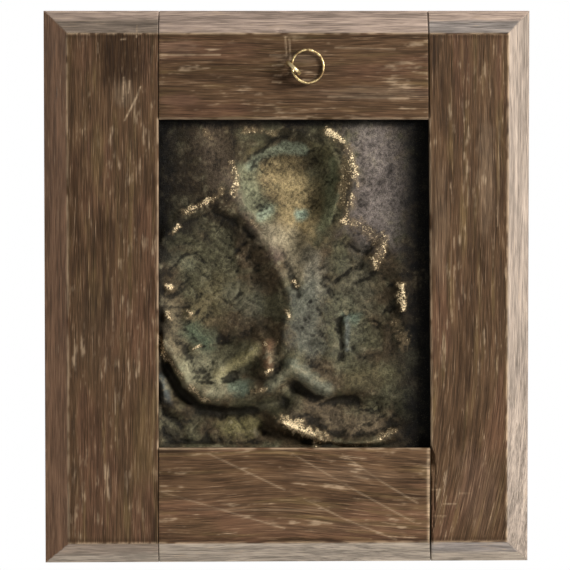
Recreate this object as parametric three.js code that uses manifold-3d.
// Cast bronze relief panel held in a bevelled wooden frame, with a screw eye and a hanging ring.
// Millimetres, +Z up. The origin is where the screw eye enters the back of the top rail.
// The back of the frame lies in the plane y = 0 and looks along -Y, the front looks along +Y.
import * as THREE from 'three';
import { mergeVertices } from 'three/addons/utils/BufferGeometryUtils.js';
import Module from 'manifold-3d';

const wasm = await Module();
wasm.setup();

// ---- driving dimensions ----
const gap = 0.3;

const openingWidth = 154.5;
const openingTop = -29;
const openingBottom = -217;
const leftStileWidth = 66.35;
const rightStileWidth = 58.45;
const topRailWidth = 62.8;
const bottomRailWidth = 66.3;
const thickness = 24;
const bevelWidth = { left: 13.8, right: 12.6, top: 13.7, bottom: 11.5 };
const bevelDepth = 10;

const bottomTaper = 1.2;
const bottomSlope = 1.3;
const innerEdgeDrift = 1.8;
const openJoint = 1.3;
const chipWidth = 3;
const chipDrop = 9;
const chipDepth = 3;

const groundDepth = 8;
const castWall = 3.5;
const thinnestWall = 2.4;
const lipReach = 4;
const bowlSteepness = 2.6;
const bowlEdge = 0.15;
const blendWidth = 3;
const foldCount = 16;
const foldHeight = 1.1;
const grooveSlack = 0.4;

const eyeLoopDiameter = 11.3;
const eyeWire = 2.5;
const eyeShank = 13;
const eyeTurn = THREE.MathUtils.degToRad(42);
const ringDiameter = 20.6;
const ringWire = 1.6;
const ringCentreX = 8.2;
const ringCentreZ = 1.1;

// ---- places worked out from them ----
const openingLeft = -openingWidth / 2;
const openingRight = openingWidth / 2;
const frameLeft = openingLeft - leftStileWidth;
const frameRight = openingRight + rightStileWidth;
const frameTop = openingTop + topRailWidth;
const frameBottom = openingBottom - bottomRailWidth;
const openingCentreZ = (openingTop + openingBottom) / 2;
const openingHeight = openingTop - openingBottom;

// ---- materials ----
const wood = new THREE.MeshStandardMaterial({ color: 0x62503c, roughness: 0.75, metalness: 0 });
const bronze = new THREE.MeshStandardMaterial({ color: 0x524a39, roughness: 0.6, metalness: 0.6 });
const brass = new THREE.MeshStandardMaterial({ color: 0xb09a5e, roughness: 0.35, metalness: 1 });

// ---- helpers ----
function toSolid(geometry) {
  const bare = geometry.clone();
  bare.deleteAttribute('normal');
  bare.deleteAttribute('uv');
  const merged = mergeVertices(bare, 1e-5);
  return new wasm.Manifold(new wasm.Mesh({
    numProp: 3,
    vertProperties: new Float32Array(merged.attributes.position.array),
    triVerts: new Uint32Array(merged.index.array),
  }));
}

function toGeometry(solid) {
  const mesh = solid.getMesh();
  const geometry = new THREE.BufferGeometry();
  geometry.setAttribute('position', new THREE.BufferAttribute(mesh.vertProperties, 3));
  geometry.setIndex(new THREE.BufferAttribute(mesh.triVerts, 1));
  return geometry;
}

function named(name, geometry, material) {
  const mesh = new THREE.Mesh(geometry, material);
  mesh.name = name;
  return mesh;
}

// A slab through several outlines. Each level has a y and the same number of [x, z] points,
// listed anticlockwise as seen from the back.
function stackedSlab(levels) {
  const count = levels[0].outline.length;
  const positions = levels.flatMap(({ y, outline }) => outline.flatMap(([x, z]) => [x, y, z]));
  const indices = [];
  for (let level = 0; level + 1 < levels.length; level += 1) {
    for (let i = 0; i < count; i += 1) {
      const a = level * count + i;
      const b = level * count + (i + 1) % count;
      indices.push(a, a + count, b + count, a, b + count, b);
    }
  }
  const cap = (outline) => THREE.ShapeUtils.triangulateShape(
    outline.map(([x, z]) => new THREE.Vector2(x, z)), []);
  for (const [a, b, c] of cap(levels[0].outline)) {
    indices.push(a, b, c);
  }
  const last = (levels.length - 1) * count;
  for (const [a, b, c] of cap(levels[levels.length - 1].outline)) {
    indices.push(last + a, last + c, last + b);
  }
  const geometry = new THREE.BufferGeometry();
  geometry.setAttribute('position', new THREE.Float32BufferAttribute(positions, 3));
  geometry.setIndex(indices);
  return geometry;
}

// ---- frame boards ----
// How far down the frame a height lies, 0 at the top edge and 1 at the bottom edge.
const downShare = (z) => (frameTop - z) / (frameTop - frameBottom);
const outerLeft = (z) => frameLeft + bottomTaper * downShare(z);
const outerRight = (z) => frameRight - bottomTaper * downShare(z);
const stileInner = (z) => openingRight + innerEdgeDrift * downShare(z);
const bottomEdge = (x) => frameBottom + bottomSlope * (x - frameLeft) / (frameRight - frameLeft);

// The groove that runs round the opening and takes the edge of the casting.
const grooveBox = new THREE.BoxGeometry(
  openingWidth + 2 * (lipReach + innerEdgeDrift + grooveSlack),
  castWall + 2 * grooveSlack,
  openingHeight + 2 * (lipReach + grooveSlack));
grooveBox.translate(0, groundDepth + castWall / 2, openingCentreZ);
const groove = toSolid(grooveBox);

const grooved = (geometry) => toSolid(geometry).subtract(groove);

function leftStile() {
  const outline = (cut) => {
    const top = frameTop - cut * bevelWidth.top;
    const upperLeft = outerLeft(frameTop) + cut * bevelWidth.left;
    const lowerLeft = outerLeft(frameBottom) + cut * bevelWidth.left;
    const inner = openingLeft;
    const bottomZ = (x) => bottomEdge(x) + cut * bevelWidth.bottom;
    return [[upperLeft, top], [lowerLeft, bottomZ(lowerLeft)], [inner, bottomZ(inner)], [inner, top]];
  };
  return toGeometry(grooved(stackedSlab([
    { y: 0, outline: outline(1) },
    { y: bevelDepth, outline: outline(0) },
    { y: thickness, outline: outline(0) },
  ])));
}

function rightStile() {
  const outline = (cut, chip) => {
    const top = frameTop - cut * bevelWidth.top;
    const upperRight = outerRight(frameTop) - cut * bevelWidth.right;
    const lowerRight = outerRight(frameBottom) - cut * bevelWidth.right;
    const bottomZ = (x) => bottomEdge(x) + cut * bevelWidth.bottom;
    const lowerInner = stileInner(frameBottom);
    const edge = (z, share) => [stileInner(z) + chip * share, z];
    return [
      [upperRight, top],
      [stileInner(frameTop), top],
      edge(openingBottom + 1, 0),
      edge(openingBottom - 3, 0.7),
      edge(openingBottom - chipDrop, 1),
      edge(openingBottom - 4 * chipDrop, 0.6),
      [lowerInner, bottomZ(lowerInner)],
      [lowerRight, bottomZ(lowerRight)],
    ];
  };
  return toGeometry(grooved(stackedSlab([
    { y: 0, outline: outline(1, chipWidth) },
    { y: chipDepth, outline: outline(1 - chipDepth / bevelDepth, 0) },
    { y: bevelDepth, outline: outline(0, 0) },
    { y: thickness, outline: outline(0, 0) },
  ])));
}

function topRail() {
  const left = openingLeft + gap;
  const outline = (cut) => {
    const top = frameTop - cut * bevelWidth.top;
    return [
      [left, top],
      [left, openingTop],
      [stileInner(openingTop) - gap, openingTop],
      [stileInner(frameTop) - gap, top],
    ];
  };
  const shankHole = new THREE.CylinderGeometry(eyeWire / 2 + gap, eyeWire / 2 + gap, 2 * eyeShank + 1, 12);
  return toGeometry(grooved(stackedSlab([
    { y: 0, outline: outline(1) },
    { y: bevelDepth, outline: outline(0) },
    { y: thickness, outline: outline(0) },
  ])).subtract(toSolid(shankHole)));
}

function bottomRail() {
  const left = openingLeft + gap;
  const rightTop = stileInner(openingBottom) - gap;
  const outline = (cut, joint) => {
    const rightBottom = stileInner(frameBottom) - joint;
    const bottomZ = (x) => bottomEdge(x) + cut * bevelWidth.bottom;
    return [
      [left, openingBottom],
      [left, bottomZ(left)],
      [rightBottom, bottomZ(rightBottom)],
      [rightTop, openingBottom],
    ];
  };
  return toGeometry(grooved(stackedSlab([
    { y: 0, outline: outline(1, openJoint) },
    { y: bevelDepth, outline: outline(0, gap) },
    { y: thickness, outline: outline(0, gap) },
  ])));
}

// ---- casting ----
// The relief is described on its back, in u to the right and v up from the middle of the opening.
// Depth is positive away from the back, so a hollow has a positive depth and a ridge a negative one.
const { smoothstep, lerp, clamp } = THREE.MathUtils;

// The hollows behind the modelled masses: middle, reach each way, tilt, depth in the middle, and
// the share by which the floor is deeper at the top and shallower at the bottom.
const hollows = [
  { name: 'head', at: [-2, 59], reach: [31, 31], tilt: 0, depth: 15, floor: 0 },
  { name: 'left shoulder', at: [-39, -12], reach: [38, 60], tilt: 0.1, depth: 8.5, floor: 0.45 },
  { name: 'right shoulder', at: [33, -14], reach: [33, 48], tilt: -0.12, depth: 7, floor: 0.4 },
  { name: 'lower left', at: [-46, -85], reach: [42, 17], tilt: -0.1, depth: 4.5, floor: 0.3 },
  { name: 'lower right', at: [32, -78], reach: [38, 15], tilt: 0.1, depth: 4.5, floor: 0.3 },
];

// Long forms that follow a line: points, half-width at each end, and depth at each end.
const neck = { line: [[2, 38], [1.5, 18], [0.5, -3]], width: [19, 6], depth: [12, 3] };
const strokes = [
  {
    name: 'groove under the sleeve',
    line: [[-74, -47], [-65, -62], [-54, -71], [-42, -74], [-22, -72], [-6, -68]],
    width: [6, 8],
    depth: [8, 5],
  },
  { name: 'groove under the fold', line: [[-15, -84], [4, -91], [24, -93]], width: [6, 5], depth: [6, 4] },
  { name: 'cave', line: [[2, -60], [12, -66], [34, -67]], width: [6, 6], depth: [7, 3] },
  { name: 'slit', line: [[27.5, -22], [28, -42]], width: [3.4, 4.4], depth: [3, 4] },
  { name: 'dark fold', line: [[-40, -31], [-26, -29]], width: [7, 6], depth: [3, 3] },
  { name: 'hollow of the sleeve', line: [[-37, -53], [-25, -49]], width: [7, 6], depth: [3.5, 3] },
  {
    name: 'sleeve edge',
    line: [[-75, -33], [-70, -39], [-66, -48], [-61, -58], [-54, -62]],
    width: [6.5, 7],
    depth: [-4, -4],
  },
  { name: 'sleeve lump', line: [[-50, -63], [-40, -62]], width: [8, 7], depth: [-5.5, -5] },
  { name: 'slanting fold', line: [[-43, -53], [-32, -46], [-22, -37]], width: [6, 6], depth: [-2.5, -3] },
  { name: 'clasp', line: [[-14.5, -35], [-15, -50]], width: [5, 5], depth: [-3, -4.5] },
  { name: 'right folded edge', line: [[-0.5, -46], [8, -54], [19, -62]], width: [8, 6], depth: [-4.5, -3] },
  { name: 'left folded edge', line: [[-2, -48], [-10, -57], [-20, -62]], width: [5, 6], depth: [-3, -3] },
  { name: 'middle seam', line: [[-0.5, -6], [-4, -22], [-6, -34]], width: [5, 5], depth: [-3, -2.5] },
  { name: 'bright fold', line: [[-9, -79], [3, -83], [16, -89]], width: [6.5, 5], depth: [-8, -5] },
  { name: 'thin fold', line: [[16, -89], [30, -92], [44, -91], [58, -86]], width: [4, 4], depth: [-5, -3] },
  { name: 'slanting ridge', line: [[-76, -57], [-73, -66], [-66, -74]], width: [5, 5], depth: [-3, -2.5] },
  { name: 'right edge fold', line: [[61.5, -2], [62.5, -17]], width: [5, 5], depth: [-3, -2.5] },
  { name: 'right shoulder fold', line: [[52, 25], [46, 12]], width: [5, 5], depth: [-2, -2.5] },
  {
    name: 'veil edge',
    line: [[20, 88], [29, 82], [34, 70], [35, 56], [32, 42]],
    width: [5, 5],
    depth: [-2, -2.5],
  },
  {
    name: 'left shoulder edge',
    line: [[-76, 24], [-64, 39], [-46, 47], [-33, 41], [-21, 31], [-11, 17], [-4, 0]],
    width: [5, 5],
    depth: [-1.5, -2],
  },
];

// Small raised points, each with its place, radius and height.
const pips = [
  { at: [-71, -2], radius: 4.4, height: 3 },
  { at: [-60, -18], radius: 4.4, height: 3.5 },
  { at: [-72, -19], radius: 4.4, height: 3 },
  { at: [-57, -38], radius: 4.4, height: 3 },
];

// Shifts a point a little, so that no outline is a regular curve.
function wandered(u, v) {
  return [
    u + 1.6 * Math.sin(v / 8.5 + 0.6) + 0.9 * Math.sin(v / 4.3 + u / 8),
    v + 1.5 * Math.sin(u / 9 + 1.1) + 0.8 * Math.sin(u / 4.1 - v / 7),
  ];
}

// The larger of two depths. Where both are hollows, the corner between them is rounded.
function blended(a, b) {
  const width = clamp(2 * Math.min(a, b), 1e-6, blendWidth);
  const near = Math.max(0, 1 - Math.abs(a - b) / width);
  return Math.max(a, b) + near ** 2 * width / 4;
}

function hollowDepth(u, v, { at, reach, tilt, depth, floor }) {
  const du = u - at[0];
  const dv = v - at[1];
  const across = (du * Math.cos(tilt) + dv * Math.sin(tilt)) / reach[0];
  const along = (dv * Math.cos(tilt) - du * Math.sin(tilt)) / reach[1];
  const bowl = Math.max(0, 1 - Math.hypot(across, along) ** bowlSteepness);
  const soft = (1 + bowlEdge) * bowl ** 2 / (bowl + bowlEdge);
  return depth * soft * (1 + floor * clamp(along, -1, 1));
}

// Nearest point of a line of points: how far it is, and its share of the way along.
function nearestOnLine(u, v, line) {
  const spans = line.slice(1).map((end, i) => Math.hypot(end[0] - line[i][0], end[1] - line[i][1]));
  const total = spans.reduce((sum, span) => sum + span, 0);
  let best = { away: Infinity, share: 0 };
  let before = 0;
  spans.forEach((span, i) => {
    const [au, av] = line[i];
    const [bu, bv] = line[i + 1];
    const t = clamp(((u - au) * (bu - au) + (v - av) * (bv - av)) / (span * span), 0, 1);
    const away = Math.hypot(u - lerp(au, bu, t), v - lerp(av, bv, t));
    if (away < best.away) {
      best = { away, share: (before + t * span) / total };
    }
    before += span;
  });
  return best;
}

function strokeDepth(u, v, { line, width, depth }) {
  const { away, share } = nearestOnLine(u, v, line);
  const reach = lerp(width[0], width[1], share);
  return lerp(depth[0], depth[1], share) * Math.exp(-2 * (away / reach) ** 2);
}

const pipDepth = (u, v, { at, radius, height }) => (
  -height * Math.exp(-2 * ((u - at[0]) ** 2 + (v - at[1]) ** 2) / radius ** 2));

const sum = (values) => values.reduce((total, value) => total + value, 0);

// 1 inside the opening, falling to 0 at its edge, so that the lip in the groove is flat.
function insideOpening(u, v) {
  const edge = Math.min(openingWidth / 2 - Math.abs(u), openingHeight / 2 - Math.abs(v));
  return smoothstep(edge, 0, 3);
}

function backDepth(u, v) {
  const [handU, handV] = wandered(u, v);
  const bowls = hollows
    .map((hollow) => hollowDepth(handU, handV, hollow))
    .reduce(blended, strokeDepth(handU, handV, neck));
  const carved = sum(strokes.map((stroke) => strokeDepth(u, v, stroke)));
  const points = sum(pips.map((pip) => pipDepth(u, v, pip)));
  return (bowls + carved + points) * insideOpening(u, v);
}

// Drapery that fans out over the shoulders from the neck.
function frontFolds(u, v) {
  const [neckU, neckV] = [0, 24];
  const away = Math.hypot(u - neckU, v - neckV);
  const turn = Math.atan2(u - neckU, neckV - v);
  return foldHeight * Math.sin(foldCount * turn + away / 14) * smoothstep(away, 14, 46)
    * smoothstep(neckV - v, -10, 10);
}

// The front has the same masses standing up, without the small forms of the back.
function frontHeight(u, v) {
  const wider = (sizes) => sizes.map((size) => size + castWall);
  const masses = hollows
    .map((hollow) => hollowDepth(u, v, { ...hollow, reach: wider(hollow.reach), floor: 0 }))
    .reduce(blended, 0);
  const rolls = sum([neck, ...strokes].filter(({ depth }) => depth[0] > 0).map((stroke) => (
    strokeDepth(u, v, { ...stroke, width: wider(stroke.width) }))));
  const height = castWall + blended(masses, rolls) + frontFolds(u, v);
  return lerp(castWall, Math.max(height, backDepth(u, v) + thinnestWall), insideOpening(u, v));
}

const spaced = (from, to, cells) => Array.from({ length: cells + 1 }, (_, i) => lerp(from, to, i / cells));

// A cell's corners, started so that its diagonal follows the ridge or valley that crosses it.
function flatterFirst([a, b, c, d], depthOf) {
  const rise = (from, to) => Math.abs(depthOf(from) - depthOf(to));
  return rise(a, c) <= rise(b, d) ? [a, b, c, d] : [b, c, d, a];
}

function bronzeRelief() {
  const halfWidth = openingWidth / 2;
  const halfHeight = openingHeight / 2;
  const columns = [-halfWidth - lipReach, ...spaced(-halfWidth, halfWidth, 39), halfWidth + lipReach];
  const rows = [
    -halfHeight - lipReach,
    ...spaced(-halfHeight, -24, 22),
    ...spaced(-24, halfHeight, 25).slice(1),
    halfHeight + lipReach,
  ];
  const positions = [];
  for (const side of [backDepth, frontHeight]) {
    for (const v of rows) {
      for (const u of columns) {
        positions.push(u, groundDepth + side(u, v), openingCentreZ + v);
      }
    }
  }
  const depthOf = (vertex) => positions[3 * vertex + 1];
  const across = columns.length;
  const perSide = across * rows.length;
  const indices = [];
  for (let row = 0; row + 1 < rows.length; row += 1) {
    for (let column = 0; column + 1 < across; column += 1) {
      const cell = row * across + column;
      const corners = [cell, cell + 1, cell + across + 1, cell + across];
      for (const side of [0, perSide]) {
        const [a, b, c, d] = flatterFirst(corners.map((corner) => corner + side), depthOf);
        indices.push(...(side === 0 ? [a, b, c, a, c, d] : [a, c, b, a, d, c]));
      }
    }
  }
  const rim = [
    ...columns.map((_, i) => i),
    ...rows.slice(1).map((_, i) => (i + 1) * across + across - 1),
    ...columns.slice(1).map((_, i) => perSide - 2 - i),
    ...rows.slice(2).map((_, i) => (rows.length - 2 - i) * across),
  ];
  rim.forEach((a, i) => {
    const b = rim[(i + 1) % rim.length];
    indices.push(a, perSide + a, perSide + b, a, perSide + b, b);
  });
  const geometry = new THREE.BufferGeometry();
  geometry.setAttribute('position', new THREE.Float32BufferAttribute(positions, 3));
  geometry.setIndex(indices);
  return geometry;
}

// ---- hardware ----
// The eye is one bent wire: a shank in the wood, then a loop that ends beside the shank.
// It stands square to the back of the frame, turned down to the right.
const eyeRadius = (eyeLoopDiameter - eyeWire) / 2;
const eyeCentreY = -gap - eyeLoopDiameter / 2;

function wireSection(diameter, sides) {
  const corners = Array.from({ length: sides }, (_, i) => {
    const angle = 2 * Math.PI * i / sides;
    return new THREE.Vector2(Math.cos(angle), Math.sin(angle)).multiplyScalar(diameter / 2);
  });
  return new THREE.Shape(corners);
}

function screwEye() {
  const at = (side, y) => new THREE.Vector3(side * Math.cos(eyeTurn), y, -side * Math.sin(eyeTurn));
  const shank = [at(0, eyeShank), at(0, eyeShank / 2), at(0, 1.2), at(0.2, -0.6)];
  const loop = spaced(26, 328, 14).map((degrees) => {
    const angle = THREE.MathUtils.degToRad(degrees);
    return at(eyeRadius * Math.sin(angle), eyeCentreY + eyeRadius * Math.cos(angle));
  });
  const path = new THREE.CatmullRomCurve3([...shank, ...loop]);
  return new THREE.ExtrudeGeometry(wireSection(eyeWire, 8), { extrudePath: path, steps: 34 });
}

// The ring passes through the eye and leans back to the right until it meets the wood.
function hangingRing() {
  const radius = (ringDiameter - ringWire) / 2;
  const restY = -gap - ringWire / 2;
  const lean = Math.asin((restY - eyeCentreY) / (2 * radius));
  const mesh = named('hanging_ring', new THREE.TorusGeometry(radius, ringWire / 2, 8, 36), brass);
  mesh.rotation.set(Math.PI / 2, 0, lean, 'ZXY');
  mesh.position.set(ringCentreX, (restY + eyeCentreY) / 2, ringCentreZ);
  return mesh;
}

const plaque = new THREE.Group();
plaque.add(
  named('left_stile', leftStile(), wood),
  named('right_stile', rightStile(), wood),
  named('top_rail', topRail(), wood),
  named('bottom_rail', bottomRail(), wood),
  named('bronze_relief', bronzeRelief(), bronze),
  named('screw_eye', screwEye(), brass),
  hangingRing(),
);

export default plaque;
